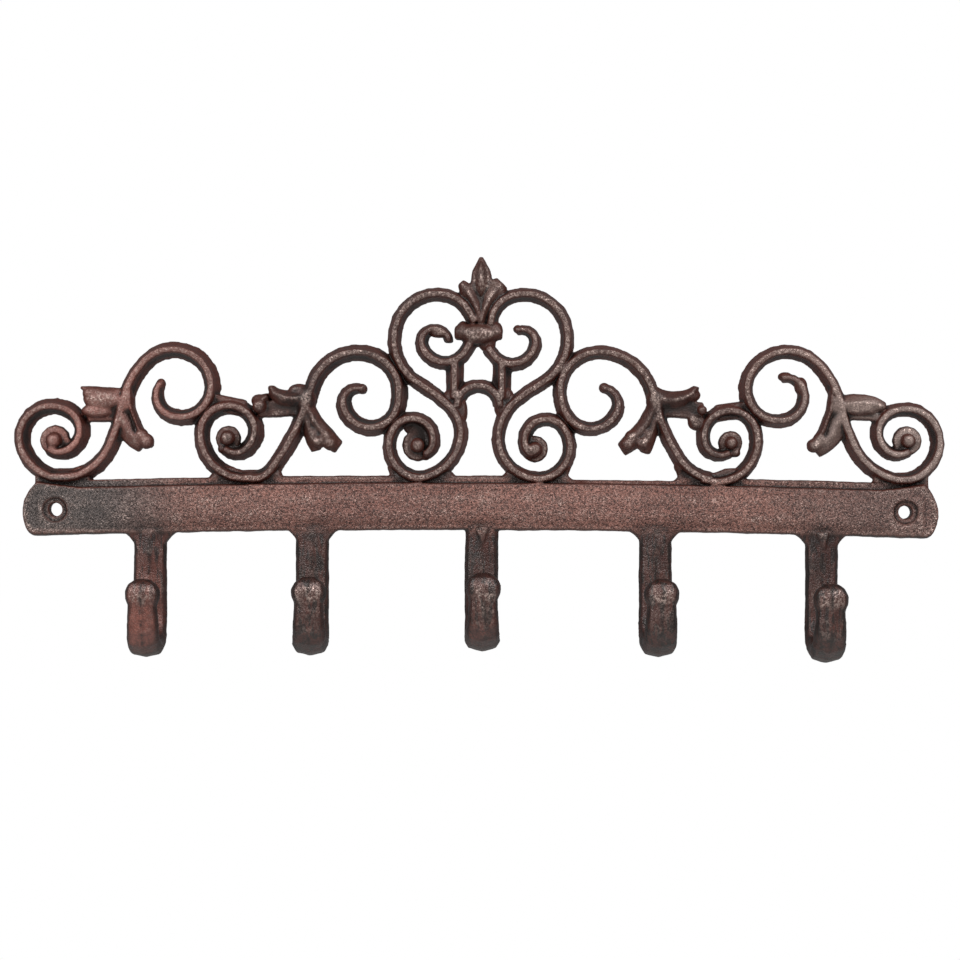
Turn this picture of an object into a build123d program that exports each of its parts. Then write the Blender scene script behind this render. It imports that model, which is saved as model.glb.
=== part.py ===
from build123d import *
import os
from math import acos, ceil, cos, degrees, radians, sin

# A five-hook wall coat rack, sand-cast in one piece of grey iron.
# A bowed bar carries five hooks below and a crest of scrolls above.
# The part is drawn face-on: X to the right, Y up, Z out of the wall.
# At the end it is stood up, so that Z is up and the front faces -Y.
# The origin is midway between the two screw holes, on the wall face.

# Bar
bar_height = 22.2         # across the bar, lower edge to ledge
bar_half_length = 190.0   # middle to the bulge of one end
bar_middle = 3.4          # height of the bar's middle above the screws
bar_bow = 3.2             # the ends hang this much lower than the middle
ledge_height = 2.8        # flat step along the top of the bar
ledge_depth = 5.2         # wall face to the ledge
plate_depth = 8.2         # wall face to the lips of the raised panel
pillow_rise = 2.0         # crown of the panel above its lips
lip_width = 1.7           # flat lip above and below the crown
end_lip = 1.0             # flat lip at the ends
end_rise = 0.35           # the crown falls to this share of its rise at the ends
pillow_lengths = 10
panel_draft = 0.35        # the panel stands in from the plate behind it
panel_root = 4.2          # wall face to the back of the panel, inside the plate
neck_inset = 5.7          # how much shorter an end is under the outer ring
heel_inset = 3.2          # and at its lower corner
end_corner = 4.0          # rounding of the lower corners
ledge_run_out = 17.0      # length over which the ledge fades at each end
low_ledge = (35.6, 83.2)  # from and to where the ledge was cast low
low_ledge_drop = 1.4

# Screw holes
hole_spacing = 352.5
hole_diameter = 6.2
recess_diameter = 10.4
recess_depth = 1.6        # below the crown's level at the bar's ends

# Section of a scroll: sloping shoulders with a bead along the middle
shoulder_height = 4.8     # wall face to the foot of the bead
bead_half_width = 1.7
bead_top_half = 1.1
bead_depth = 8.5          # wall face to the bead's crest
tail_scale = 0.62         # a tail narrows to this share of the section
tail_low = 0.55           # least share of the depth that a tail may fall to
chord_error = 0.17        # scrolls are carved in straight lengths, true within this

# Scrolls start on the bar, each at (x, heading) and drawn as a left one. An arc is
# (radius, turn in degrees), a straight run (length, 0). The pattern was carved by hand,
# so the two sides differ.
ring_seat = 13.5          # height of a ring's lowest point above the screws
outer_arch = {
    "left": (-171.4, 6.5, [(21.4, 58.5), (71.9, 15), (35.2, -33.5), (16.2, -122.5), (13, -122.5)]),
    "right": (-172.9, 11, [(25, 53), (66.7, 15), (35.2, -34), (17.6, -111.5), (13.3, -135.5)]),
}
outer_tail = {"left": [(8.9, -108)], "right": [(9.7, -93), (7, -84)]}
outer_curl = {
    "left": (-178.2, 163.5, [(19.1, -52), (13.4, -151), (9.2, -126)]),
    "right": (-178.2, 165, [(17, -56.5), (14.1, -133.5), (9.6, -114)]),
}
outer_end = {"left": [(8, -50)], "right": [(8, -75)]}
middle_arch = {
    "left": (-96.8, -17, [
        (8.9, 69.5), (97.2, 23), (19.3, -99), (16.6, -74.5), (68.9, -2.5), (11.6, -159.5),
    ]),
    "right": (-95.9, 7.5, [
        (18.5, 47.5), (69.7, 24), (22.8, -80.5), (16.5, -106.5), (48.2, -4), (11.9, -133.5),
    ]),
}
middle_tail = {"left": [(6, -119)], "right": [(7.4, -102.5)]}
middle_curl = {
    "left": (-94.5, 190.5, [(18.5, -102.5), (11.6, -131), (10, -98.5)]),
    "right": (-92.0, 201, [(17, -126.5), (11.3, -78), (11, -99.5)]),
}
middle_end = {"left": [(7, -80)], "right": [(7, -110)]}
inner_arch = {
    "left": (-27.1, 1, [
        (19.3, 80.5), (15.5, 53), (53, 17), (21.2, -85.5), (17.6, -80.5), (14.5, -51), (30.4, 7),
    ]),
    "right": (-24.3, -1, [
        (16.7, 89), (20.2, 51.5), (58.9, 12.5), (21, -83.5), (17.7, -87), (12.5, -68.5), (20.6, 2.5),
    ]),
}
inner_curl = {
    "left": (-24.7, 179.5, [(13.6, -121), (9, -159.5)]),
    "right": (-25.0, 176, [(13.2, -125.5), (9.1, -164)]),
}
inner_end = {"left": [(5.8, -60.5)], "right": [(3.1, -88)]}
volute = {
    "left": (-4.1, 70.6, -120, [(39, 5), (10.3, -130)]),
    "right": (-2.8, 68.0, -127, [(43, 4), (10, -135)]),
}
volute_tail = {"left": [(5.8, -204)], "right": [(5.5, -133)]}
end_scale = 0.8           # a curl narrows to this share beside its eye

# Half-widths of the strokes
outer_half_width = {"left": 3.5, "right": 3.0}
middle_half_width = {"left": 3.5, "right": 3.0}
inner_half_width = {"left": 2.95, "right": 2.88}

# Eyes of the curls at (x, height, radius), and the low round webs behind them
outer_eye = {"left": (-177.4, 28.8, 3.3), "right": (-177.7, 29.8, 2.8)}
middle_eye = {"left": (-105.2, 29.9, 2.9), "right": (-104.1, 28.6, 2.5)}
inner_eye = {"left": (-26.2, 27.2, 2.9), "right": (-22.6, 25.8, 2.9)}
eye_depth = 8.8
tip_eye_radius = 2.1
tip_eye_depth = 6.4
eye_web_depth = 3.6
button_sides = 12
outer_web_radius = {"left": 6.3, "right": 6.0}
middle_web_radius = {"left": 5.2, "right": 5.0}
inner_web_radius = {"left": 6.5, "right": 5.4}

# Webs between the rings and the bar
saddle_half_foot = 14.5
outer_saddle_reach = 10.5 # the outer rings stand near the bar's ends
saddle_rise = 4.4
saddle_root = 2.2         # how far a saddle runs down into the bar
saddle_depth = 4.4
ring_inner_radius = 13.6
ring_inner_rise = 2.0     # ring's lowest point to the open inside of the ring
bridge_web = {"left": (-113.9, 45.6, -12), "right": (-113.9, 42.9, -7)}
bridge_web_length = 16.0

# Leaves: where they grow, arcs, then stations of (half-width, ridge depth, edge depth)
outer_joint = (-148.5, 42.3)
middle_joint = (-73.5, 45.6)
outer_web_drop = {"left": 1.8, "right": 0.2}
leaf_draft = 0.86         # front width of a leaf over its back width
wing_arcs = {"left": [(30, -31)], "right": [(34, 35)]}
wing_lift = {"left": 2.9, "right": 1.5}
wing_heading = {"left": 190, "right": 163}
wing_shape = {
    "left": [(4.4, 7.6, 5), (4.2, 8.6, 5), (4.2, 9.0, 5.6), (4.0, 8.8, 6), (3.6, 8.2, 6), (2.6, 7.0, 5.6)],
    "right": [(4.0, 7.6, 5), (3.8, 8.6, 5), (4.0, 9.2, 5.6), (3.9, 9.0, 6), (3.2, 8.4, 6), (2.0, 7.4, 5)],
}
spur_arcs = {"left": [(27, 40)], "right": [(28, 42)]}
spur_shape = [
    (3.6, 8.6, 5), (5.2, 8.8, 5), (5.3, 8.4, 5),
    (4.7, 8.0, 4.8), (4.2, 7.4, 4.8), (3.0, 6.4, 4.6),
]
spur_vein_arcs = [(34, 46)]
spur_vein_shape = [(0.8, 8.9, 5), (1.1, 9.4, 5), (1.1, 9.2, 5), (0.8, 7.4, 5)]
bract_length = 12.0
bract_shape = [(1.0, 6.4, 5), (2.0, 7.6, 5.2), (1.9, 7.4, 5.2), (1.2, 6.6, 5)]
fold_arcs = [(60, -16)]
fold_shape = [(1.0, 6.8, 5), (1.4, 7.4, 5.6), (1.5, 7.8, 6), (1.3, 7.6, 6), (0.5, 6.8, 5.6)]
curled_leaf_arcs = {"left": [(14, -50), (4.5, -60)], "right": [(15, -56), (6, -40)]}
curled_leaf_shape = [
    (4.0, 8.2, 5), (3.8, 9.0, 5.4), (3.6, 9.2, 5.8),
    (3.2, 9.2, 6), (2.4, 9.0, 6), (1.2, 8.2, 6),
]
bud_radius = {"left": 2.9, "right": 1.9}
bud_depth = 9.0
bud_cap_arcs = [(9, 38)]
bud_cap_shape = [(1.2, 6.8, 5), (1.9, 7.8, 5.6), (1.8, 7.4, 5.4), (1.0, 6.2, 5)]
lobe_length = {"left": 20.5, "right": 21.0}
lobe_curve = 1.72         # radius of the curved lobe over the length of the straight one
lobe_shape = [
    (2.8, 8.6, 5), (2.9, 8.6, 5), (2.8, 8.2, 5),
    (2.9, 7.8, 4.8), (2.9, 7.2, 4.8), (2.1, 6.2, 4.6),
]
curved_lobe_shape = [
    (2.8, 8.6, 5), (3.0, 8.6, 5), (3.2, 8.2, 5),
    (3.5, 7.8, 4.8), (3.6, 7.2, 4.8), (2.9, 6.2, 4.6),
]
leaf_web_half_width = 3.5
leaf_web_depth = 5.0

# Crest
collar_height = 74.2
collar_half_length = 9.8
collar_shape = [
    (2.6, 7.4, 6), (3.3, 9.2, 7), (3.5, 9.8, 7.6),
    (3.5, 9.8, 7.6), (3.3, 9.2, 7), (2.6, 7.4, 6),
]
strut_offset = {"left": 10.9, "right": 8.7}
strut_half_width = {"left": 3.8, "right": 4.1}
crest_centre = -1.0       # the crest was carved a little left of the middle
strut_top = 62.5
strut_length = 15.5
collar_web_drop = 5.6     # middle of the collar to the foot of the web below it
bridge_radius = 9.0
bridge_spring = 43.2      # height where the bridge's arc begins

# Finial over the collar
finial_tip = 105.6
finial_waist = 95.5
finial_web_shape = [
    (3.4, 5.4, 5), (4.4, 5.4, 5), (4.6, 5.4, 5),
    (4.6, 5.4, 5), (3.9, 5.2, 4.8), (0.5, 4.6, 4.4),
]
finial_bud_shape = [
    (0.8, 6.6, 5), (2.2, 8.4, 5.6), (2.6, 9.0, 6),
    (2.3, 8.8, 6), (1.6, 8.0, 5.6), (0.5, 6.4, 5),
]
side_leaf_angle = 32      # lean of the side leaves from upright
side_leaf_shape = {
    -1: [(2.0, 9.2, 6), (2.4, 9.0, 5.4), (3.4, 8.8, 5.2), (4.3, 8.4, 5), (4.8, 7.4, 5), (3.0, 5.8, 4.6)],
    1: [(2.0, 9.2, 6), (2.4, 9.0, 5.4), (2.9, 8.8, 5.2), (3.3, 8.4, 5), (3.2, 7.4, 5), (1.6, 5.8, 4.6)],
}

# Hooks
hook_places = (-137.1, -69.7, 0.5, 72.8, 141.8)
hook_extra_drop = (0.0, 0.2, -1.2, 0.4, 1.2)     # the castings hang unevenly
hook_lean = (0.3, 0.4, 1.0, 1.1, 0.7)            # sideways lean of the knobs
plain_hook = 2            # this one has no flared shoulders
tongued_hooks = (2, 4)    # these have a drip of iron below the bar
hook_drop = 51.0          # bar's lower edge to the hook's lowest point
hook_root = 1.0           # how far a stem runs up into the bar
hook_stem_out = 4.7       # wall face to the middle of the stem
hook_bend_radius = 13.0
bend_steps = 8
stem_half_width = 6.8
stem_half_depth = 4.3
neck_half_width = 6.1     # at the end of the bend, below the knob
neck_half_depth = 4.4
bend_swell = 0.7          # the bend is this much wider each side at its lowest point
knob_half_width = 7.1
knob_half_depth = 5.6
knob_rise = 9.0           # end of the bend to the middle of the knob
knob_cap = 6.0            # middle of the knob to its top
shoulder_half_width = 11.8
shoulder_drop = 4.4
shoulder_back = 1.0
shoulder_depth = 7.4
tongue_half_width = 2.6
tongue_length = 6.0
tongue_depth = 9.6


def step(x, y, heading, radius, turn):
    """Place and heading after one arc, or after a straight run if the turn is 0."""
    a, b = radians(heading), radians(heading + turn)
    if turn == 0:
        return x + radius * cos(a), y + radius * sin(a), heading
    r = radius if turn > 0 else -radius
    return x + r * (sin(b) - sin(a)), y - r * (cos(b) - cos(a)), heading + turn


def follow(start, path):
    """Walk a whole path from (x, y, heading)."""
    for radius, turn in path:
        start = step(*start, radius, turn)
    return start


def along(start, path, share):
    """Place and heading at a share of a path's length."""
    lengths = [radius * radians(abs(turn)) if turn else radius for radius, turn in path]
    left = sum(lengths) * share
    for (radius, turn), length in zip(path, lengths):
        part = min(left, length) / length
        if part > 0:
            start = step(*start, radius if turn else radius * part, turn * part)
        left -= part * length
    return start


def across(x, y, heading):
    """The plane square to a path: its x to the left, its y out of the wall."""
    a = radians(heading)
    return Plane(origin=(x, y, 0), x_dir=(-sin(a), cos(a), 0), z_dir=(cos(a), sin(a), 0))


def outline(*points):
    """A flat face with straight edges."""
    return make_face(Polyline(*points, close=True))


def scroll_section(half_width, scale=1.0):
    """Sloping shoulders and a bead, drafted so that the pattern leaves the sand."""
    w, b, t = half_width * scale, bead_half_width * scale, bead_top_half * scale
    low = tail_low + (1 - tail_low) * scale
    foot, crest = shoulder_height * low, bead_depth * low
    return outline((-w, 0), (w, 0), (b, foot), (t, crest), (-t, crest), (-b, foot))


def places_on(start, path):
    """Places along a path, close enough for straight lengths between them."""
    places = [start]
    for radius, turn in path:
        longest = 2 * degrees(acos(1 - chord_error / radius)) if turn else 1
        count = max(1, ceil(abs(turn) / longest))
        for _ in range(count):
            places.append(step(*places[-1], radius, turn / count))
    return places


def scroll(start, path, half_width, tail=(), tail_share=1.0):
    """A run of full section along a path, then a tail that narrows to a share."""
    places = places_on(start, path)
    faces = [across(*place) * scroll_section(half_width) for place in places]
    ends = places_on(places[-1], tail)
    for i, place in enumerate(ends[1:], 1):
        scale = 1 - (1 - tail_share) * i / (len(ends) - 1)
        faces.append(across(*place) * scroll_section(half_width, scale))
    return loft(faces, ruled=True)


def button(x, y, rings):
    """Round button of many flat sides, from rings of (radius, depth)."""
    faces = [Pos(x, y, depth) * RegularPolygon(radius, button_sides) for radius, depth in rings]
    return loft(faces, ruled=True)


def eye(x, y, radius, depth):
    """Button with a bevelled top at the end of a curl."""
    return button(x, y, [(radius, 0), (radius * 0.92, depth - radius * 0.45), (radius * 0.55, depth)])


def leaf(start, path, stations):
    """Ridged leaf along a path, with its stations evenly spaced."""
    faces = []
    for i, (half_width, ridge, edge) in enumerate(stations):
        top = half_width * leaf_draft
        section = outline((-half_width, 0), (half_width, 0), (top, edge), (0, ridge), (-top, edge))
        faces.append(across(*along(start, path, i / (len(stations) - 1))) * section)
    return loft(faces, ruled=True)


def web(start, length, half_width=leaf_web_half_width, depth=leaf_web_depth):
    """Plain low strip that joins two strokes."""
    section = outline((-half_width, 0), (half_width, 0), (half_width * leaf_draft, depth),
                      (-half_width * leaf_draft, depth))
    return extrude(across(*start) * section, length)


def bar_edge(x, upper):
    """Height of the bar's upper or lower edge at a distance from the middle."""
    half = bar_height / 2 if upper else -bar_height / 2
    return bar_middle + half - bar_bow * (x / bar_half_length) ** 2


def bar_face(ledge, inset=0.0):
    """Front outline of the bar. The raised panel leaves the ledge free."""
    neck = bar_half_length - neck_inset - inset
    heel = bar_half_length - heel_inset - inset
    end = bar_half_length - inset
    top, bottom = bar_edge(neck, True) - inset, bar_edge(heel, False) + inset
    bulge = bar_edge(neck, True) - bar_height / 2
    run = neck - ledge_run_out
    low = bar_edge(run, True) - ledge - inset
    crown = (0, bar_edge(0, True) - ledge - inset)
    if ledge:
        edges = [
            Line((-neck, top), (-run, low)),
            ThreePointArc((-run, low), crown, (run, low)),
            Line((run, low), (neck, top)),
        ]
    else:
        edges = [ThreePointArc((-neck, top), crown, (neck, top))]
    edges += [
        ThreePointArc((neck, top), (end, bulge), (heel, bottom)),
        ThreePointArc((heel, bottom), (0, bar_edge(0, False) + inset), (-heel, bottom)),
        ThreePointArc((-heel, bottom), (-end, bulge), (-neck, top)),
    ]
    face = make_face(edges)
    return fillet(face.vertices().sort_by(Axis.Y)[:2], end_corner)


def pillow():
    """Crowned front of the panel, in short lengths that follow the bow."""
    half = (bar_height - ledge_height) / 2 - lip_width
    reach = bar_half_length - neck_inset - end_lip
    faces = []
    for i in range(pillow_lengths + 1):
        x = reach * (2 * i / pillow_lengths - 1)
        middle = bar_middle - ledge_height / 2 - bar_bow * (x / bar_half_length) ** 2
        rise = pillow_rise if 0 < i < pillow_lengths else pillow_rise * end_rise
        upper = [(half * 0.35, rise * 0.95), (half * 0.7, rise * 0.6), (half, 0), (half, -1.0)]
        lower = [(-py, pz) for py, pz in reversed(upper)]
        plane = Plane(origin=(x, middle, plate_depth), x_dir=(0, 1, 0), z_dir=(1, 0, 0))
        faces.append(plane * outline(*lower, *upper))
    return loft(faces, ruled=True)


def bar():
    """Ledge plate, raised panel and its crowned front."""
    raised = Pos(0, 0, panel_root) * bar_face(ledge_height, panel_draft)
    start, end = low_ledge
    over = bar_edge(0, True) + 1
    dip = outline(
        (start, bar_edge(start, True) - low_ledge_drop),
        (end, bar_edge(end, True) - low_ledge_drop),
        (end, over),
        (start, over),
    )
    plate = extrude(bar_face(0), ledge_depth) - extrude(dip, ledge_depth)
    return [plate, extrude(raised, plate_depth - panel_root), pillow()]


def saddle(x, reach=saddle_half_foot):
    """Web that fills the cusps between a ring and the bar."""
    base, top = bar_edge(x, True) - saddle_root, ring_seat + saddle_rise
    shares = ((1, 0), (0.8, 0.45), (0.88, 1))
    right = [(share * saddle_half_foot, base + rise * (top - base)) for share, rise in shares]
    left = [(max(-px, -reach), py) for px, py in reversed(right)]
    gap = Pos(0, ring_seat + ring_inner_rise + ring_inner_radius) * RegularPolygon(ring_inner_radius, 24)
    return extrude(Pos(x, 0) * (outline(*right, *left) - gap), saddle_depth)


def outer_leaves(side):
    """Wing, web, bract and spur where the outer arch leaves its ring."""
    x, y = outer_joint
    pieces = [
        leaf((x + 1, y + wing_lift[side], wing_heading[side]), wing_arcs[side], wing_shape[side]),
        web((x, y - outer_web_drop[side], 182), 15.0),
        leaf((x - 3, y + 0.8, 188), [(bract_length, 0)], bract_shape),
        leaf((x - 1.4, y + 0.2, -80), spur_arcs[side], spur_shape),
        leaf((x + 2.6, y + 9, -93), spur_vein_arcs, spur_vein_shape),
    ]
    if side == "left":
        pieces.append(leaf((x - 1, y + 7.2, 184), fold_arcs, fold_shape))
    return pieces


def middle_leaves(side):
    """Curled leaf, bud and two-lobed spur where the middle arch leaves its ring."""
    x, y = middle_joint
    length = lobe_length[side]
    bud_x, bud_y = x - 18.4, y - (2.4 if side == "left" else 3.4)
    pieces = [
        leaf((x + 0.5, y + 2, 204), curled_leaf_arcs[side], curled_leaf_shape),
        web((x, y - 2.6, 183), 19.0),
        eye(bud_x, bud_y, bud_radius[side], bud_depth),
        leaf((x - 1, y - 1, -73), [(length, 0)], lobe_shape),
        leaf((x + 0.4, y + 1, -76), [(length * lobe_curve, 41)], curved_lobe_shape),
    ]
    if side == "left":
        pieces.append(leaf((bud_x + 3.4, bud_y + 4.2, 200), bud_cap_arcs, bud_cap_shape))
    return pieces


def ring(curl, curl_end, arch, arch_tail, half_width, eye_place, web_radius, reach):
    """Curl with its eye, the arch that grows out of it, and the webs of both."""
    inward, outward = (curl[0], ring_seat, curl[1]), (arch[0], ring_seat, arch[1])
    x, y, radius = eye_place
    pieces = [
        scroll(inward, curl[2], half_width, curl_end, end_scale),
        scroll(outward, arch[2], half_width, arch_tail, tail_scale),
        eye(x, y, radius, eye_depth),
        button(x, y, [(web_radius, 0), (web_radius * 0.96, eye_web_depth)]),
        saddle((curl[0] + arch[0]) / 2, reach),
    ]
    if arch[0] > curl[0]:
        pieces.append(scroll((arch[0] + 0.5, ring_seat, 180), [(arch[0] - curl[0] + 1, 0)], half_width))
    return pieces


def scrollwork(side):
    """All scrolls, eyes, webs and leaves of one side, drawn as the left side."""
    pieces = ring(outer_curl[side], outer_end[side], outer_arch[side], outer_tail[side],
                  outer_half_width[side], outer_eye[side], outer_web_radius[side], outer_saddle_reach)
    pieces += ring(middle_curl[side], middle_end[side], middle_arch[side], middle_tail[side],
                   middle_half_width[side], middle_eye[side], middle_web_radius[side], saddle_half_foot)
    pieces += ring(inner_curl[side], inner_end[side], inner_arch[side], (),
                   inner_half_width[side], inner_eye[side], inner_web_radius[side], saddle_half_foot)
    tip_x, tip_y, _ = follow(end_of_middle(side), middle_tail[side])
    pieces.append(eye(tip_x, tip_y, tip_eye_radius, tip_eye_depth))
    pieces += outer_leaves(side) + middle_leaves(side)
    pieces.append(web(bridge_web[side], bridge_web_length))

    start, path = volute[side][:3], volute[side][3]
    pieces.append(scroll(start, path, inner_half_width[side], volute_tail[side], tail_scale))
    pieces.append(scroll((-strut_offset[side], strut_top, -90), [(strut_length, 0)], strut_half_width[side]))
    return pieces


def end_of_middle(side):
    """Place and heading where the middle arch hands over to its tail."""
    x, heading, path = middle_arch[side]
    return follow((x, ring_seat, heading), path)


def crest():
    """Collar, bridge and finial, on the middle line."""
    base, middle = collar_height, crest_centre
    rise = finial_tip - base
    spring = (middle - bridge_radius, bridge_spring, 90)
    pieces = [scroll(spring, [(bridge_radius, -180)], inner_half_width["left"])]
    pieces.append(leaf((middle - collar_half_length, base, 0), [(2 * collar_half_length, 0)], collar_shape))
    pieces.append(web((middle, base, -90), collar_web_drop))
    pieces.append(leaf((0, base + 2, 90), [(rise - 2, 0)], finial_web_shape))
    pieces.append(leaf((0, finial_waist - 6, 90), [(finial_tip - finial_waist + 4, 0)], finial_bud_shape))
    for side, shape in side_leaf_shape.items():
        lean = side * side_leaf_angle
        pieces.append(leaf((0, base + 4, 90 + lean / 3), [(34, lean)], shape))
    return pieces


def hook_section(x, y, out, angle, half_width, half_depth):
    """Eight-sided section with a keel in front and behind, tipped round the bend."""
    a, b = half_width, half_depth
    right = [(0, b), (0.78 * a, 0.66 * b), (a, 0), (0.78 * a, -0.66 * b), (0, -b)]
    left = [(-px, py) for px, py in right[-2:0:-1]]
    t = radians(angle)
    square = Plane(origin=(x, y, out), x_dir=(1, 0, 0), z_dir=(0, -cos(t), sin(t)))
    return square * outline(*right, *left)


def hook(index):
    """Stem, bend and knob of one hook."""
    x, lean = hook_places[index], hook_lean[index]
    bottom = bar_edge(x, False)
    lowest = bottom - hook_drop - hook_extra_drop[index]
    bend_y = lowest + stem_half_depth + hook_bend_radius
    faces = [
        hook_section(x, bottom + hook_root, hook_stem_out, 0, stem_half_width, stem_half_depth),
        hook_section(x, bend_y, hook_stem_out, 0, stem_half_width, stem_half_depth),
    ]
    for i in range(1, bend_steps + 1):
        share = i / bend_steps
        angle = 180 * share
        a = radians(angle)
        faces.append(hook_section(
            x + lean * share,
            bend_y - hook_bend_radius * sin(a),
            hook_stem_out + hook_bend_radius * (1 - cos(a)),
            angle,
            stem_half_width + (neck_half_width - stem_half_width) * share + bend_swell * sin(a),
            stem_half_depth + (neck_half_depth - stem_half_depth) * share,
        ))
    knob_out = hook_stem_out + 2 * hook_bend_radius
    knob_y = bend_y + knob_rise
    for rise, width, depth in (
        (-0.75 * knob_cap, 0.82, 0.84), (-0.3 * knob_cap, 0.98, 0.98), (0.2 * knob_cap, 1, 1),
        (0.68 * knob_cap, 0.8, 0.8), (knob_cap, 0.38, 0.38),
    ):
        faces.append(hook_section(x + lean, knob_y + rise, knob_out, 180,
                                  knob_half_width * width, knob_half_depth * depth))
    pieces = [loft(faces, ruled=True)]
    if index != plain_hook:
        s, w = shoulder_half_width, stem_half_width - 0.6
        low = bottom - shoulder_drop
        bend = ((s + w) / 2 - 0.9, bottom - shoulder_drop * 0.42)
        flare = make_face([
            Line((-s, bottom + 1), (s, bottom + 1)),
            ThreePointArc((s, bottom + 1), bend, (w, low)),
            Line((w, low), (-w, low)),
            ThreePointArc((-w, low), (-bend[0], bend[1]), (-s, bottom + 1)),
        ])
        pieces.append(extrude(Pos(x, 0, shoulder_back) * flare, shoulder_depth - shoulder_back))
    if index in tongued_hooks:
        t = tongue_half_width
        drip = outline((-t, bottom + 1), (t, bottom + 1), (0.6, bottom - tongue_length))
        pieces.append(extrude(Pos(x, 0) * drip, tongue_depth))
    return pieces


def joined(pieces):
    """One solid from pieces that overlap."""
    return pieces[0].fuse(*pieces[1:])


casting = joined(bar())
casting = casting.fuse(joined(scrollwork("left")))
casting = casting.fuse(joined([mirror(piece, about=Plane.YZ) for piece in scrollwork("right")]))
casting = casting.fuse(joined(crest()))
casting = casting.fuse(*[joined(hook(index)) for index in range(len(hook_places))]).clean()

front = plate_depth + 2 * pillow_rise
recess_floor = plate_depth + pillow_rise * end_rise - recess_depth
for x in (-hole_spacing / 2, hole_spacing / 2):
    casting -= extrude(Pos(x, 0) * Circle(hole_diameter / 2), front)
    casting -= extrude(Pos(x, 0, recess_floor) * Circle(recess_diameter / 2), front)

coat_rack = Rot(90, 0, 0) * casting
os.makedirs("parts", exist_ok=True)
export_step(coat_rack, "parts/coat_rack.step")
print("volume", round(coat_rack.volume / 1000, 1), "cubic centimetres")
print("valid", coat_rack.is_valid, "solids", len(coat_rack.solids()))
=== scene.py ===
# %% [markdown]
# # A cast iron coat rack
#
# The rack is one sand casting: a bar with five hooks below it and scrolls above.
# The solid model gives its form. This file gives it the skin of the real one: edges
# softened by the sand, a grainy face, rust-brown colour, and ridges worn to grey iron. Shade in
# corners and under the bar, glints and highlights are painted into the colour as well.
# Blender works in metres, with X along the bar, Z up and the front facing -Y. Sizes here
# are written in millimetres and times MM.

# %% Load the solid rack
import math

import bpy
import numpy as np
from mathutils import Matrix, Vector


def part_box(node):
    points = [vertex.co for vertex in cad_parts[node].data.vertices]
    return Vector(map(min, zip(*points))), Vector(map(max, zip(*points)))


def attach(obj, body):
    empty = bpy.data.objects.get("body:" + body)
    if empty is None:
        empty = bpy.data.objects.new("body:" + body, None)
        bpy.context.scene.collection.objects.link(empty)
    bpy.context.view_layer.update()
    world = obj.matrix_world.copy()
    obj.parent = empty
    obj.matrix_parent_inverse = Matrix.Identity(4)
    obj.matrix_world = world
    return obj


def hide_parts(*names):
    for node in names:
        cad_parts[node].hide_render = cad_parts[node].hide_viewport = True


MM = 0.001
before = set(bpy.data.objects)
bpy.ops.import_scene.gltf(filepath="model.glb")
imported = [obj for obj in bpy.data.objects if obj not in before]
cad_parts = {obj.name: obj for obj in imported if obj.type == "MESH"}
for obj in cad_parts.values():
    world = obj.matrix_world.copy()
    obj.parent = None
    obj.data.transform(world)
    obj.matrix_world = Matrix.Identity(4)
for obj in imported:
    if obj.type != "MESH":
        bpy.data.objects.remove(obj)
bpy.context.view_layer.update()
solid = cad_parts["coat_rack"]
low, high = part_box("coat_rack")
print("rack from", tuple(low), "to", tuple(high))

# %% [markdown]
# ## The casting
#
# Sand cannot hold a sharp corner, so every edge and inner corner of a casting is round.
# Bevels on so many crossing strokes would tangle. A voxel remesh turns the whole form into
# one even skin instead, and a smoothing then rounds all corners by the same amount.
# The solid itself stays as it is. A copy of it is merged, because its triangles are loose.

# %% Copy the solid and merge its loose triangles
weld_distance = 0.002 * MM
bpy.ops.object.select_all(action="DESELECT")
casting = bpy.data.objects.new("casting", solid.data.copy())
bpy.context.scene.collection.objects.link(casting)
casting.data.materials.clear()
casting.select_set(True)
bpy.context.view_layer.objects.active = casting

bpy.ops.object.mode_set(mode="EDIT")
bpy.ops.mesh.select_all(action="SELECT")
bpy.ops.mesh.remove_doubles(threshold=weld_distance)
bpy.ops.mesh.normals_make_consistent(inside=False)
bpy.ops.object.mode_set(mode="OBJECT")
print("merged casting has", len(casting.data.polygons), "faces")

# %% [markdown]
# ## Where the strokes flow together
#
# On the real rack one stroke flows into the next, and the leaves swell out of the strokes.
# Sculpting would do that, but leaves nothing to read. Here each blend is a small ellipsoid,
# set into the joint before the skin is made, so that the remesh and the smoothing turn it
# into one flowing form with the strokes.

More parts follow.
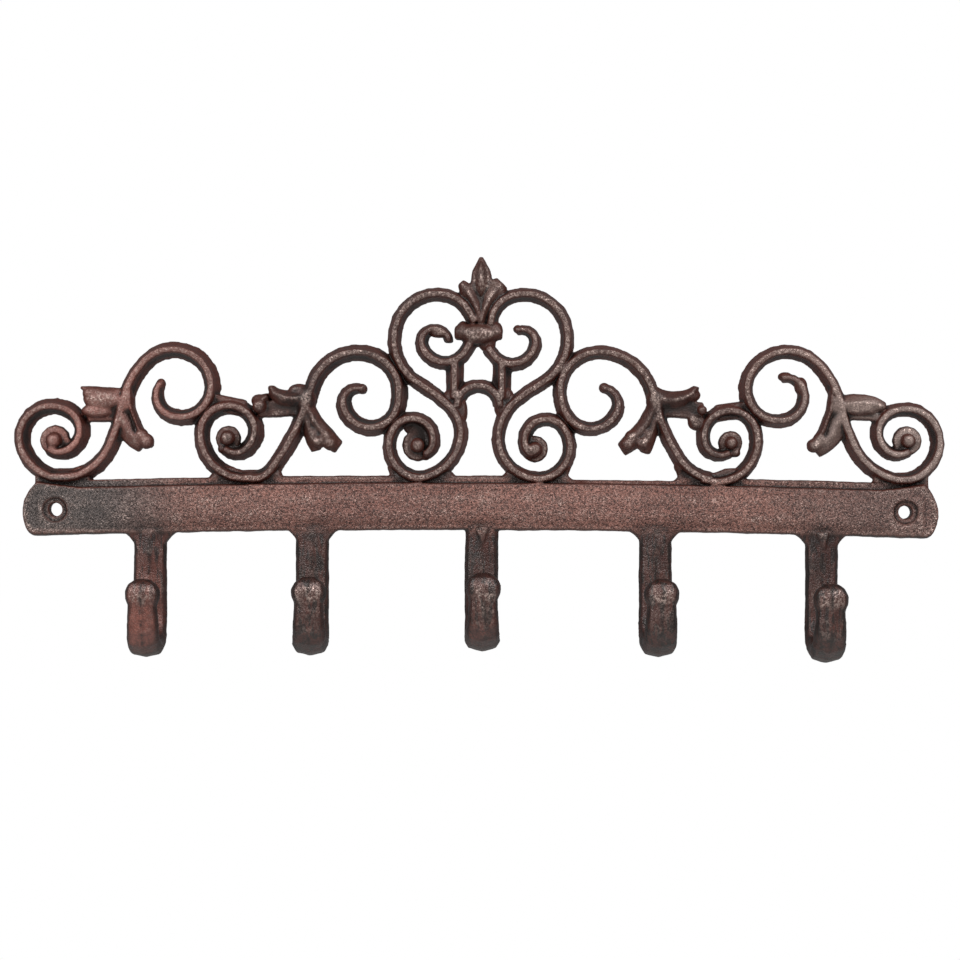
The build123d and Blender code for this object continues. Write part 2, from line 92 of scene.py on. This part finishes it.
# %% Lumps at the joints and leaves
# Each is (x, distance from the wall, z, and three half-sizes), all in millimetres.
lumps = [
    # collar, volutes, struts and bridge
    (2.6, 3.4, 69.6, 3.4, 3.6, 3.4), (-4.2, 3.4, 70.4, 3.2, 3.6, 3.2), (-0.9, 6.4, 73.5, 7.4, 4.2, 4.0),
    (-7.5, 3.2, 75.0, 2.8, 4.8, 4.0), (6.2, 3.2, 74.8, 2.8, 4.8, 4.0), (15.2, 3.6, 75.6, 1.8, 3.4, 1.6),
    (-17.5, 4.0, 73.8, 4.0, 3.6, 1.8), (-10.2, 3.4, 42.6, 3.6, 3.8, 4.6), (9.3, 3.4, 43.0, 3.5, 3.8, 4.8),
    (-12.0, 3.4, 47.0, 3.6, 3.6, 4.0), (10.0, 3.4, 47.6, 3.6, 3.6, 4.0), (-7.9, 3.2, 41.6, 2.2, 3.2, 5.6),
    # leaves of the outer arches
    (-147.6, 4.0, 44.6, 3.6, 4.6, 5.4), (147.6, 4.0, 44.6, 3.4, 4.4, 5.4),
    (-156.4, 5.0, 46.0, 8.6, 4.4, 4.6), (-159.2, 4.4, 41.0, 6.8, 3.8, 2.8),
    (-162.4, 4.6, 48.4, 3.0, 4.0, 2.6), (-138.8, 5.0, 28.4, 3.0, 4.0, 3.0),
    (138.6, 5.0, 27.6, 3.0, 4.0, 2.8), (157.0, 4.6, 43.6, 8.5, 4.0, 3.2),
    (-141.2, 4.6, 30.8, 2.9, 3.8, 3.0), (141.2, 4.6, 30.0, 2.9, 3.8, 3.0),
    (-133.0, 3.4, 52.4, 1.6, 3.2, 2.0),
    # leaves of the middle arches
    (-72.6, 4.2, 46.4, 3.8, 4.8, 5.4), (72.6, 4.2, 46.4, 3.8, 4.8, 5.4), (-75.5, 3.4, 50.0, 4.5, 3.4, 2.6),
    (-92.0, 3.4, 45.5, 3.5, 3.4, 2.6), (-67.5, 4.8, 28.7, 3.0, 4.0, 2.8), (-62.4, 4.8, 28.0, 3.0, 4.0, 2.9),
    (63.2, 4.2, 30.6, 3.2, 4.0, 3.2), (61.2, 4.8, 28.0, 3.0, 4.0, 2.9), (67.4, 4.8, 28.4, 3.0, 4.0, 2.9),
    (89.6, 3.2, 37.6, 3.4, 3.2, 3.8), (87.6, 4.0, 48.4, 3.6, 3.6, 2.6), (83.5, 3.6, 46.6, 4.0, 3.4, 2.6),
    (-69.4, 4.4, 31.6, 2.6, 3.6, 3.2), (-64.8, 4.4, 31.0, 2.6, 3.6, 3.2), (69.2, 4.4, 31.6, 2.6, 3.6, 3.2),
    # tail of the right outer arch, and the disc of the left inner ring
    (126.6, 3.4, 56.2, 3.0, 3.4, 1.8), (133.0, 3.6, 52.4, 2.6, 3.6, 3.6), (-26.6, 2.0, 34.6, 5.5, 2.0, 3.2),
    # ends of three curls beside their eyes, and a pinhole at the right wing
    (106.0, 2.4, 24.6, 2.2, 2.6, 1.8), (-107.4, 2.4, 25.4, 2.0, 2.6, 1.8),
    (-23.0, 2.2, 22.8, 2.0, 2.4, 1.6), (164.6, 3.0, 39.8, 2.8, 3.0, 2.4),
    # corners between the rings and the bar
    (82.8, 3.0, 18.6, 2.2, 3.0, 2.6), (-13.4, 2.6, 14.2, 2.6, 2.6, 2.2), (12.0, 2.6, 14.2, 2.6, 2.6, 2.2),
    (-85.4, 2.8, 14.6, 2.6, 2.8, 2.4), (-110.0, 2.8, 13.8, 2.6, 2.8, 1.8),
]
for x, from_wall, z, half_x, half_out, half_z in lumps:
    bpy.ops.object.select_all(action="DESELECT")
    bpy.ops.mesh.primitive_uv_sphere_add(segments=24, ring_count=12, radius=MM,
                                         location=(x * MM, -from_wall * MM, z * MM),
                                         scale=(half_x, half_out, half_z))
    casting.select_set(True)
    bpy.context.view_layer.objects.active = casting
    bpy.ops.object.join()
print("lumps joined:", len(lumps))


# %% One even skin with soft corners
def finish_with(kind, **settings):
    """Add a modifier to the casting, set it and apply it."""
    modifier = casting.modifiers.new(kind.title(), kind)
    for name, value in settings.items():
        setattr(modifier, name, value)
    bpy.ops.object.modifier_apply(modifier=modifier.name)


skin_cell = 0.5 * MM
rounding_passes = 7
# The rounding thins the strokes, and a swelling by this much gives that back.
lost_in_rounding = 0.25 * MM
finish_with("REMESH", mode="VOXEL", voxel_size=skin_cell)
finish_with("SMOOTH", factor=0.5, iterations=rounding_passes)
finish_with("DISPLACE", strength=lost_in_rounding, mid_level=0.0)
print("skin has", len(casting.data.vertices), "points")

# %% [markdown]
# ## Lumps left by the sand
#
# The pattern was carved by hand and the sand moved a little as the iron went in.
# Strokes swell and thin by a few tenths of a millimetre. Two cloud textures push the
# skin in and out: a wide one for the hand of the carver, and a small one for the sand.


# %% Push the skin in and out
def push(name, grain_size, height):
    """Displace the casting by a cloud texture of a real grain size."""
    cloud = bpy.data.textures.new(name, "CLOUDS")
    cloud.noise_scale = grain_size
    cloud.noise_depth = 1
    finish_with("DISPLACE", texture=cloud, texture_coords="LOCAL", strength=height, mid_level=0.5)
    print(name, "pushes by", round(height / MM, 2), "mm over", round(grain_size / MM, 1), "mm")


push("carver's hand", 9.0 * MM, 0.6 * MM)
push("moving sand", 2.2 * MM, 0.25 * MM)

# %% Thin the mesh, flatten the back and shade it smooth
target_triangles = 190_000
triangles = 2 * len(casting.data.polygons)
finish_with("DECIMATE", ratio=min(1.0, target_triangles / triangles))
# The back lies flat against the wall, and no lump stands out of the rack's own box.
for vertex in casting.data.vertices:
    vertex.co = [min(max(value, least), most) for value, least, most in zip(vertex.co, low, high)]
bpy.ops.object.shade_smooth()
print("casting has", len(casting.data.polygons), "faces of", triangles)

# %% [markdown]
# ## Where hands and cloths have rubbed
#
# The brown coat is rubbed off what stands proud, and the corners are painted dark as shade. A node for
# pointiness would show that too, but the width of the wear would not be ours to choose.
# How proud a point is can be read from the mesh: it is how far the point stands above the
# mean of its neighbourhood. The casting keeps that as an attribute, which the material reads.


# %% Measure how proud each point stands
def neighbour_mean(values):
    """Mean of the values at each point's neighbours."""
    total = np.empty_like(values)
    for k in range(values.shape[1]):
        from_b = np.bincount(ends_a, values[ends_b, k], count)
        from_a = np.bincount(ends_b, values[ends_a, k], count)
        total[:, k] = from_b + from_a
    touching = np.bincount(ends_a, minlength=count) + np.bincount(ends_b, minlength=count)
    return total / np.maximum(touching, 1)[:, None]


mesh = casting.data
count = len(mesh.vertices)
places = np.empty(count * 3)
mesh.vertices.foreach_get("co", places)
places = places.reshape(-1, 3)
facing = np.empty(count * 3)
mesh.vertices.foreach_get("normal", facing)
facing = facing.reshape(-1, 3)
edge_ends = np.empty(len(mesh.edges) * 2, dtype=np.int32)
mesh.edges.foreach_get("vertices", edge_ends)
ends_a, ends_b = edge_ends[0::2], edge_ends[1::2]

wide_passes = 12
softening_passes = 2
neighbourhood = places.copy()
for _ in range(wide_passes):
    neighbourhood = neighbour_mean(neighbourhood)
proud = ((places - neighbourhood) * facing).sum(axis=1)[:, None] / MM
front = -facing[:, 1:2]
for _ in range(softening_passes):
    proud = neighbour_mean(proud)
    front = neighbour_mean(front)
proud, front = proud[:, 0], front[:, 0]
shares_of_points = (5, 25, 50, 75, 90, 97)
proud_at_shares = np.percentile(proud, shares_of_points).round(2)
print("proud in mm, at", shares_of_points, "% of the points:", proud_at_shares)

# %% [markdown]
# ## Where the finish changes along the rack
#
# No two strokes of the real rack are the same colour. Some leaves and the hooks' stems are
# burnt nearly black, the left rings are an even red, and the ends of the bar are cooler. The tops
# of the stems under the bar are painted dark as shade, the strokes at the right end are painted
# lighter as more strongly lit, and a few knobs and ridges carry painted highlights. Painting that
# would need an image. Soft round patches and smooth steps along the rack give each point its
# share instead.


# %% Smooth steps and soft patches
def between(values, start, end):
    """Rises smoothly from 0 at the start to 1 at the end."""
    t = np.clip((values - start) / (end - start), 0, 1)
    return t * t * (3 - 2 * t)


def patches_at(spots):
    """Soft round patches, each (x, z, radius, strength), in millimetres."""
    total = np.zeros(count)
    for x, z, radius, strength in spots:
        distance = np.hypot(along_x - x, along_z - z)
        total = np.maximum(total, strength * np.exp(-(distance / radius) ** 2))
    return total


along_x, out, along_z = places[:, 0] / MM, -places[:, 1] / MM, places[:, 2] / MM
# The bar's face: above its lower edge, below its top edge, behind the hooks, facing the front.
on_bar = (between(along_z, -10.0, -7.6) * between(along_z, 14.2, 12.6)
          * between(out, 12.5, 11.0) * between(front, 0.6, 0.85))
hook = between(along_z, -8.0, -10.5)
print("points on the bar's face:", int((on_bar > 0.5).sum()), "and below the bar:", int((hook > 0.5).sum()))

# %% Burnt places with painted shade, plain, cooler and lit places, and painted highlights
burnt_and_shaded = patches_at([
    (-74, 46, 16, 0.8), (-98, 30, 10, 0.6), (-58, 62, 14, 0.6), (-72, -22, 10, 0.5), (-74, -44, 10, 0.7),
    (-5, -20, 11, 1.0), (4, -48, 9, 0.7), (-30, 84, 14, 0.5), (-10, 76, 12, 0.4), (28, 84, 14, 0.5),
    (-178, 8, 9, 0.2), (-40, 50, 14, 0.5), (74, 46, 12, 0.4), (92, 22, 14, 0.4), (130, 14, 16, 0.3),
    (72, -20, 9, 0.5), (138, -22, 9, 0.8), (140, -50, 10, 0.6), (-132, -40, 8, 0.5), (0, 98, 8, 0.4),
    # The last five, at the tops of the stems under the bar, are painted shade.
    (-137, -10, 6, 0.8), (-69, -10, 6, 0.9), (-1, -10, 6, 1.0), (72, -10.5, 6, 1.0), (141, -11, 6, 1.0),
])
plain = patches_at([
    (-170, 30, 26, 1.0), (-135, 52, 26, 0.9), (-140, -48, 18, 0.9), (-2, -54, 10, 0.4), (142, 62, 12, 0.4),
])
left_end = between(along_x, -108, -160)
right_end = between(along_x, 105, 165)
# The ends of the bar are a cooler grey, and the strokes at the right end are painted lighter, as more
# strongly lit.
cooler_ends_and_lit_right = left_end * on_bar + right_end * np.where(along_z > 13, 0.75, 0.45 * on_bar)
knob_height, knob_reach = -35, 4.5
# Knob tops get a painted highlight, laid on as bright rubbed iron.
knob_highlight = np.exp(-((along_z - knob_height) / knob_reach) ** 2) * between(out, 22, 28)
rub_and_knob_highlight = 1 - 0.75 * hook + 0.8 * hook * knob_highlight
# Painted highlights on the bud, a few ridges and the knob tops.
painted_highlights = between(front, 0.4, 0.75) * patches_at([
    (0.5, 96, 4, 1.0), (33, 82, 3.5, 0.7), (-29, 85, 4, 0.5), (-46, 62, 3, 0.5),
    (-129, -33, 2.5, 0.5), (-68.5, -33, 3.5, 0.7), (4.0, -34, 2.5, 1.0),
    (73, -34, 3.5, 0.6), (141, -35, 3.5, 0.6), (31, 36, 3, 0.5),
])
print("burnt and shaded on average", burnt_and_shaded.mean().round(2), "and plain", plain.mean().round(2))

# %% Dark lines down the hooks
# A dark line is painted down each stem and over its knob, and the knob's lies a little to the right.
dark_line_half_width = 0.7
knobs_stand_out = 18
dark_line = np.zeros(count)
for stem, knob in ((-137.1, -136.8), (-69.7, -69.3), (-1.5, 2.5), (72.8, 73.9), (141.8, 142.5)):
    middle = np.where(out > knobs_stand_out, knob, stem)
    dark_line = np.maximum(dark_line, np.exp(-((along_x - middle) / dark_line_half_width) ** 2))
dark_line = dark_line * between(along_z, -9, -12) * between(front, 0.5, 0.8)
print("points on a dark line:", int((dark_line > 0.5).sum()))

# %% Store the shares on the casting's points
carried = {"proud": proud, "front": front, "on_bar": on_bar, "hook": hook, "burnt_and_shaded": burnt_and_shaded,
           "plain": plain, "cooler_ends_and_lit_right": cooler_ends_and_lit_right, "rub_and_knob_highlight": rub_and_knob_highlight, "painted_highlights": painted_highlights, "dark_line": dark_line}
for name, values in carried.items():
    layer = mesh.attributes.new(name, "FLOAT", "POINT")
    layer.data.foreach_set("value", values.astype(np.float32))
print("the points carry", ", ".join(carried))

# %% [markdown]
# ## The finish
#
# Cast iron with a rust-brown patina, sand cast and lightly brushed. The coat is dull and
# a little grainy, and the metal shows grey and glossier where it is rubbed. The walls of the
# strokes keep their red oxide, and what faces the front is browner. The colours are written
# as hex and were judged.


# %% Colours, and a helper for nodes
def linear(hex_colour):
    """Linear colour from an sRGB hex value."""
    channels = [int(hex_colour[i:i + 2], 16) / 255 for i in (1, 3, 5)]
    return [c / 12.92 if c <= 0.04045 else ((c + 0.055) / 1.055) ** 2.4 for c in channels] + [1.0]


def add_node(owner, kind, output=None, inputs=(), **settings):
    """Add one node, set it, give its inputs values or links, and return it or one output."""
    node = owner.node_tree.nodes.new(kind)
    for name, value in settings.items():
        setattr(node, name, value)
    for key, value in dict(inputs).items():
        if isinstance(value, bpy.types.NodeSocket):
            owner.node_tree.links.new(value, node.inputs[key])
        else:
            node.inputs[key].default_value = value
    return node if output is None else node.outputs[output]


print("red oxide in linear light:", [round(c, 3) for c in linear("#50241a")])

# %% Rust-brown iron, and what its points carry
iron = bpy.data.materials.new("rust-brown cast iron")
iron.use_nodes = True
iron.node_tree.nodes.clear()
place = add_node(iron, "ShaderNodeTexCoord", "Object")
kept = {}
for name in carried:
    kept[name] = add_node(iron, "ShaderNodeAttribute", "Fac", attribute_name=name)
print("the material reads", ", ".join(kept))

# %% [markdown]
# ## Patterns of the patina
#
# The patina has patches of tone a few centimetres wide, streaks that break up the soot, the
# painted shade and the dark lines, thin runs down the hooks, worn places, and bright specks that
# are painted glints. Each is a noise whose grains have a real size. The sand's own grain is about
# 0.2 mm, which is finer than a dot of the picture, so the grit and the grains are drawn at about
# 0.6 mm, and the glint specks at 1.1 mm, to show.

# %% Noises by the real size of their grains
down_the_hooks = add_node(iron, "ShaderNodeMapping", "Vector", {"Vector": place, "Scale": (1.0, 1.0, 0.18)})
# Each is (size in millimetres, detail, roughness, where it is read).
patterns = {
    "tones": (35.0, 3.0, 0.5, place),
    "streaks": (4.0, 4.0, 0.65, place),
    "runs": (1.8, 3.0, 0.6, down_the_hooks),
    "worn": (3.0, 3.0, 0.5, place),
    "painted glint specks": (1.1, 3.0, 0.7, place),
    "grit": (0.55, 2.0, 0.75, place),
}
noise = {}
for name, (size, detail, roughness, where) in patterns.items():
    noise[name] = add_node(iron, "ShaderNodeTexNoise", "Fac", {
        "Vector": where, "Scale": 1 / (size * MM), "Detail": detail, "Roughness": roughness})
grain_size = 0.62 * MM
grains = add_node(iron, "ShaderNodeTexVoronoi", None, {"Vector": place, "Scale": 1 / grain_size})
print("patterns:", ", ".join(noise), "and grains")

# %% How much of each finish shows
# Each is (the value it reads, start and end of its range, least share, most share).
ranges = {
    "second tone": (noise["tones"], 0.4, 0.6, 0.0, 1.0),
    "coat of the face": (kept["front"], 0.4, 0.9, 0.0, 1.0),
    # Corners are painted dark as shade.
    "painted shade in corners": (kept["proud"], 0.0, -0.3, 0.0, 0.92),
    "soot and shade": (noise["streaks"], 0.38, 0.58, 0.0, 1.0),
    "dark line share": (noise["streaks"], 0.42, 0.55, 0.0, 0.9),
    "runs": (noise["runs"], 0.48, 0.56, 0.0, 0.92),
    "runs on plain": (kept["plain"], 0.0, 1.0, 1.0, 0.2),
    "rub on crests": (kept["proud"], 0.14, 0.48, 0.0, 1.0),
    "rub on the face": (kept["front"], 0.72, 0.98, 0.0, 1.0),
    "rub on plain": (kept["plain"], 0.0, 1.0, 1.0, 0.35),
    "worn": (noise["worn"], 0.4, 0.62, 0.35, 1.0),
    # Specks of painted glints on the worn metal.
    "painted glint specks": (noise["painted glint specks"], 0.45, 0.6, 0.1, 1.3),
    "dust": (kept["on_bar"], 0.0, 1.0, 0.5, 1.0),
    "bright grains": (noise["grit"], 0.58, 0.7, 0.0, 0.3),
    "grain height": (kept["on_bar"], 0.0, 1.0, 0.45, 1.0),
}
share = {}
for name, (value, start, end, least, most) in ranges.items():
    share[name] = add_node(iron, "ShaderNodeMapRange", "Result", {
        "Value": value, "From Min": start, "From Max": end, "To Min": least, "To Max": most})
print("shares:", len(share))


# %% Shares that act together
products = {
    "hook coat": (kept["hook"], 0.9),
    "soot and shade": (kept["burnt_and_shaded"], share["soot and shade"]),
    "dark lines": (kept["dark_line"], share["dark line share"]),
    "runs": (share["runs"], kept["hook"], share["runs on plain"]),
    "rub_and_highlights": (share["rub on crests"], share["rub on the face"], share["rub on plain"], kept["rub_and_knob_highlight"]),
    "painted glints where worn": (share["painted glint specks"], share["worn"]),
    "bright grains": (share["bright grains"], kept["on_bar"]),
    "hook gloss": (kept["hook"], 0.1),
}
product = {}
for name, (value, *factors) in products.items():
    for factor in factors:
        value = add_node(iron, "ShaderNodeMath", "Value", {0: value, 1: factor}, operation="MULTIPLY")
    product[name] = value
black = add_node(iron, "ShaderNodeMath", "Value", {
    0: product["soot and shade"], 1: product["runs"]}, operation="MAXIMUM")
# The painted highlights are laid over the rubbed iron.
rub_and_highlights = add_node(iron, "ShaderNodeMath", "Value", {
    0: product["rub_and_highlights"], 1: kept["painted_highlights"]}, operation="MAXIMUM")
# Bare iron where rubbed, broken into specks of painted glints.
bare_iron_and_painted_glints = add_node(iron, "ShaderNodeMath", "Value", {
    0: rub_and_highlights, 1: product["painted glints where worn"]}, operation="MULTIPLY")
print("shares that act together:", len(product) + 3)

# %% [markdown]
# ## Coats, one over the other
#
# The coats lie much as they do on the real iron: a base tone for the strokes, the plain red of the
# left rings, the darker hooks, the cooler ends with the right end painted lighter as more strongly
# lit, the bar, and then painted shade in the corners, soot with painted shade under the bar, dark
# lines, and bare metal with painted glints and highlights.
# Each Mix node lays one colour over what is under it, by one share.

# %% Coats of the face
tones = {"strokes": ("#422a24", "#52362e"), "plain": ("#96645a", "#7a4e45"),
         "hooks": ("#43211a", "#532d25"), "bar": ("#86594e", "#97685c")}
coats = {}
for name, (one_tone, other_tone) in tones.items():
    coats[name] = add_node(iron, "ShaderNodeMix", 2, {
        "Factor": share["second tone"], 6: linear(one_tone), 7: linear(other_tone)}, data_type="RGBA")
hook_coat = add_node(iron, "ShaderNodeMix", 2, {
    "Factor": kept["plain"], 6: coats["hooks"], 7: linear("#8a5145")}, data_type="RGBA")
bar_coat = add_node(iron, "ShaderNodeMix", 2, {
    "Factor": kept["cooler_ends_and_lit_right"], 6: coats["bar"], 7: linear("#594f4c")}, data_type="RGBA")

face = coats["strokes"]
# The cooler grey also paints the strokes at the right end lighter, as more strongly lit.
for factor, over in ((kept["plain"], coats["plain"]), (product["hook coat"], hook_coat),
                     (kept["cooler_ends_and_lit_right"], linear("#8a7871")), (kept["on_bar"], bar_coat)):
    face = add_node(iron, "ShaderNodeMix", 2, {"Factor": factor, 6: face, 7: over}, data_type="RGBA")
print("coats of the face:", ", ".join(coats))

# %% Red walls, painted shade in corners, soot and painted shade, bare ridges with painted glints, and dark lines
walls = add_node(iron, "ShaderNodeMix", 2, {
    "Factor": kept["hook"], 6: linear("#50241a"), 7: linear("#341812")}, data_type="RGBA")
colour = walls
for factor, over in ((share["coat of the face"], face), (share["painted shade in corners"], linear("#1c0e0a")),
                     (black, linear("#1b110e")), (bare_iron_and_painted_glints, linear("#c2aca3")),
                     (product["dark lines"], linear("#1b110e"))):
    colour = add_node(iron, "ShaderNodeMix", 2, {"Factor": factor, 6: colour, 7: over}, data_type="RGBA")
print("walls, corners and ridges coloured")

# %% Dust and bright grains
grains_weight, grit_weight = 0.55, 0.9
speckle = add_node(iron, "ShaderNodeMath", "Value", {
    0: grains.outputs["Color"], 1: grains_weight}, operation="MULTIPLY")
some_grit = add_node(iron, "ShaderNodeMath", "Value", {
    0: noise["grit"], 1: grit_weight}, operation="MULTIPLY")
both_grains = add_node(iron, "ShaderNodeMath", "Value", {0: speckle, 1: some_grit}, operation="ADD")
clean_share = add_node(iron, "ShaderNodeMapRange", "Result", {
    "Value": both_grains, "From Min": 0.5, "From Max": 1.05})
dust = add_node(iron, "ShaderNodeMix", 2, {
    "Factor": clean_share, 6: linear("#5e4f4a"), 7: linear("#ffffff")}, data_type="RGBA")
colour = add_node(iron, "ShaderNodeMix", 2, {
    "Factor": share["dust"], 6: colour, 7: dust}, data_type="RGBA", blend_type="MULTIPLY")
colour = add_node(iron, "ShaderNodeMix", 2, {
    "Factor": product["bright grains"], 6: colour, 7: linear("#cbb6ad")}, data_type="RGBA")
print("grains coloured")

# %% Gloss and grain
grain_depth = 0.35 * MM
coated_roughness, bare_roughness = 0.46, 0.28
coated_metal, bare_metal = 0.2, 0.75
dry_roughness = add_node(iron, "ShaderNodeMapRange", "Result", {
    "Value": bare_iron_and_painted_glints, "To Min": coated_roughness, "To Max": bare_roughness})
roughness = add_node(iron, "ShaderNodeMath", "Value", {
    0: dry_roughness, 1: product["hook gloss"]}, operation="SUBTRACT")
metal_share = add_node(iron, "ShaderNodeMapRange", "Result", {
    "Value": bare_iron_and_painted_glints, "To Min": coated_metal, "To Max": bare_metal})
height = add_node(iron, "ShaderNodeMath", "Value", {
    0: noise["grit"], 1: grains.outputs["Distance"]}, operation="SUBTRACT")
grain = add_node(iron, "ShaderNodeBump", "Normal", {
    "Height": height, "Distance": grain_depth, "Strength": share["grain height"]})
surface = add_node(iron, "ShaderNodeBsdfPrincipled", "BSDF", {
    "Base Color": colour, "Metallic": metal_share, "Roughness": roughness, "Normal": grain})
add_node(iron, "ShaderNodeOutputMaterial", None, {"Surface": surface})
casting.data.materials.append(iron)

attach(casting, "root")
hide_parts("coat_rack")
print("casting dressed in", iron.name, "with", len(iron.node_tree.nodes), "nodes")

# %% [markdown]
# ## Light and floor
#
# The rack is shown as in a catalogue, on plain white. Large soft lamps stand in front of
# it, the stronger one high on the right. The floor lies below the picture. The camera sees a
# white surround, while the rack itself is lit by a much dimmer one, so that its edges stay dark.

# %% A pale floor
floor_width = 1.3
floor_drop = 0.32
floor_middle = -0.28
bpy.ops.object.select_all(action="DESELECT")
bpy.ops.mesh.primitive_plane_add(size=floor_width, location=(0, floor_middle, -floor_drop))
floor = bpy.context.object
floor.name = "floor"
bpy.ops.object.transform_apply(location=True, rotation=False, scale=False)
pale = bpy.data.materials.new("pale floor")
pale.use_nodes = True
pale.node_tree.nodes["Principled BSDF"].inputs["Base Color"].default_value = linear("#e9e8e6")
pale.node_tree.nodes["Principled BSDF"].inputs["Roughness"].default_value = 0.8
floor.data.materials.append(pale)
print("floor", floor_width, "m wide, at a height of", -floor_drop, "m")

# %% A white surround
world = bpy.data.worlds.new("white surround")
bpy.context.scene.world = world
world.use_nodes = True
world.node_tree.nodes.clear()
rays = add_node(world, "ShaderNodeLightPath")
seen = add_node(world, "ShaderNodeMath", "Value", {
    0: rays.outputs["Is Camera Ray"], 1: rays.outputs["Is Transmission Ray"]}, operation="MAXIMUM")
room = add_node(world, "ShaderNodeBackground", 0, {"Color": linear("#dcdcdc"), "Strength": 0.35})
white = add_node(world, "ShaderNodeBackground", 0, {"Color": linear("#ffffff"), "Strength": 1.0})
both = add_node(world, "ShaderNodeMixShader", 0, {"Fac": seen, 1: room, 2: white})
add_node(world, "ShaderNodeOutputWorld", None, {"Surface": both})
print("surround ready")


# %% Soft lamps
def soft_lamp(name, place, size, power):
    """An area lamp that faces the rack, with its place and size in metres."""
    lamp = bpy.data.lights.new(name, "AREA")
    lamp.size = size
    lamp.energy = power
    holder = bpy.data.objects.new(name, lamp)
    bpy.context.scene.collection.objects.link(holder)
    x, y, z = place
    holder.location = place
    across = math.hypot(x, y)
    holder.rotation_euler = (math.atan2(across, z), 0, math.atan2(x, -y))
    print(name, "of", power, "W at", place)


soft_lamp("right lamp", (0.8, -0.9, 0.9), 0.6, 20)
soft_lamp("left lamp", (-0.9, -0.9, 0.7), 0.6, 16)

# %% [markdown]
# ## The camera
#
# The camera stands a little over a metre in front of the rack, near enough that the knobs of
# the hooks lie a few dots off their stems. The lens follows from that distance and from how
# many millimetres one dot covers. The shift moves the dot that the camera faces squarely.

# %% Camera as in the photograph
picture = 960
rack_distance = 1.072
millimetres_per_pixel = 0.4168
scale_distance = 1.070
level_column, level_row = 500.9, 494.9
view_right, view_up = 8.5 * MM, 6.7 * MM
roll = math.radians(0.2)
sensor = 36.0

camera_data = bpy.data.cameras.new("camera")
camera_data.sensor_width = sensor
camera_data.lens = sensor * scale_distance / (millimetres_per_pixel * MM * picture)
camera_data.shift_x = (picture / 2 - level_column) / picture
camera_data.shift_y = (level_row - picture / 2) / picture
camera = bpy.data.objects.new("camera", camera_data)
camera.location = (view_right, -rack_distance, view_up)
camera.rotation_euler = (math.radians(90), -roll, 0)
bpy.context.scene.collection.objects.link(camera)
bpy.context.scene.camera = camera
bpy.context.scene.view_settings.view_transform = "Standard"
print("lens", round(camera_data.lens, 1), "mm")
